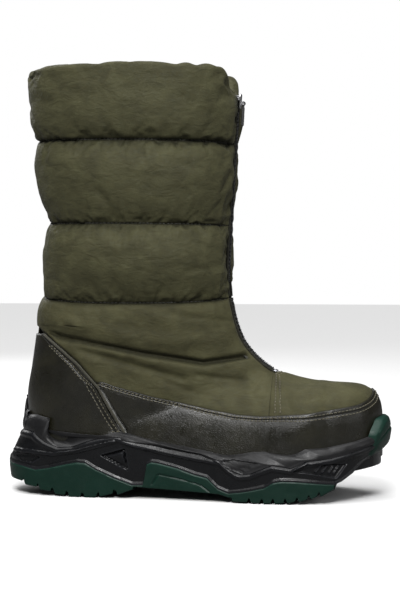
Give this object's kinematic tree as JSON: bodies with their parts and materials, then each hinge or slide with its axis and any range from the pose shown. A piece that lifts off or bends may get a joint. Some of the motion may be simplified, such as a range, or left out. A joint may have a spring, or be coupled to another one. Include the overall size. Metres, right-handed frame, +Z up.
{
  "type": "quilted winter boot",
  "caption": "Quilted, padded winter snow boot with a zip-up tiered shaft, leather rand and heel counter, and a thick lugged rubber sole.",
  "frame": {"origin": "on the ground, on the flat bottom of the heel tread, in the middle of the heel's width", "axes": "+X to the toe, +Y to the inner (medial) side of this right boot, +Z up the shaft"},
  "size_m": [0.2935, 0.1174, 0.3273],
  "materials": {
    "green_rubber": "matte moulded",
    "black_foam": "moulded foam, satin",
    "black_rubber": "satin",
    "spring_steel": "plain",
    "fibre_board": "pressed fibre",
    "felt": "felt",
    "coated_leather": "soft grain, slight shine",
    "piping_cord": "woven cord",
    "quilted_nylon": "fine plain weave, low sheen",
    "collar_binding": "folded nylon",
    "stiffener_board": "sheet",
    "polyester_wadding": "loose fibre",
    "fleece": "brushed pile",
    "plain_nylon": "plain weave",
    "zip_tape": "woven tape",
    "zip_plastic": "moulded",
    "slider_metal": "polished"
  },
  "bodies": {
    "foot": {"outsole": "green_rubber", "toe_bumper": "green_rubber", "midsole": "black_foam", "sole_trim": "black_rubber", "shank": "spring_steel", "insole_board": "fibre_board", "footbed": "felt", "rand": "coated_leather", "heel_counter": "coated_leather", "counter_piping": "piping_cord", "vamp": "quilted_nylon", "quarter_lateral": "quilted_nylon", "quarter_medial": "quilted_nylon", "heel_stiffener": "stiffener_board", "toe_puff": "stiffener_board", "foot_wadding": "polyester_wadding", "ankle_wadding_lateral": "polyester_wadding", "ankle_wadding_medial": "polyester_wadding", "foot_lining": "fleece", "ankle_lining_lateral": "fleece", "ankle_lining_medial": "fleece", "gusset": "plain_nylon", "lower_tape_lateral": "zip_tape", "lower_tape_medial": "zip_tape", "lower_zip_chain": "zip_plastic", "zip_end_stop": "slider_metal"},
    "shaft": {"back_stay": "quilted_nylon", "back_seam_cord": "piping_cord"},
    "flap_lateral": {"top_tier_lateral": "quilted_nylon", "middle_tier_lateral": "quilted_nylon", "low_tier_lateral": "quilted_nylon", "shaft_wadding_lateral": "polyester_wadding", "shaft_lining_lateral": "fleece", "collar_lateral": "collar_binding", "zip_tape_lateral": "zip_tape", "zip_teeth_lateral": "zip_plastic"},
    "flap_medial": {"top_tier_medial": "quilted_nylon", "middle_tier_medial": "quilted_nylon", "low_tier_medial": "quilted_nylon", "shaft_wadding_medial": "polyester_wadding", "shaft_lining_medial": "fleece", "collar_medial": "collar_binding", "zip_tape_medial": "zip_tape", "zip_teeth_medial": "zip_plastic", "zip_facing": "plain_nylon"},
    "zip_slider": {"zip_slider": "slider_metal"},
    "zip_puller": {"zip_puller": "zip_plastic"}
  },
  "joints": [
    {"name": "ankle_flex", "type": "hinge", "parent": "foot", "child": "shaft", "pos_m": [0.02, 0, 0.1], "axis": [0, 1, 0], "range_deg": [-6, 12], "stiffness_Nm_per_rad": 3, "deforming": ["quarter_lateral", "quarter_medial", "ankle_wadding_lateral", "ankle_wadding_medial", "ankle_lining_lateral", "ankle_lining_medial", "gusset", "lower_tape_lateral", "lower_tape_medial", "lower_zip_chain"]},
    {"name": "zip_slide", "type": "slide", "parent": "shaft", "child": "zip_slider", "axis": [-0.0579, 0, -0.9983], "range_m": [0, 0.118]},
    {"name": "flap_lateral_open", "type": "hinge", "parent": "shaft", "child": "flap_lateral", "pos_m": [-0.037, 0, 0.15], "axis": [0.03, 0, -0.9996], "range_deg": [0, 12]},
    {"name": "flap_medial_open", "type": "hinge", "parent": "shaft", "child": "flap_medial", "pos_m": [-0.037, 0, 0.15], "axis": [-0.03, 0, 0.9996], "range_deg": [0, 12]},
    {"name": "puller_swing", "type": "hinge", "parent": "zip_slider", "child": "zip_puller", "pos_m": [0.1109, 0, 0.29818], "axis": [0, -1, 0], "range_deg": [0, 150]}
  ],
  "couplings": [
    {"joint": "flap_lateral_open", "follows": "zip_slide", "rad_per_m": 1.774},
    {"joint": "flap_medial_open", "follows": "zip_slide", "rad_per_m": 1.774}
  ]
}
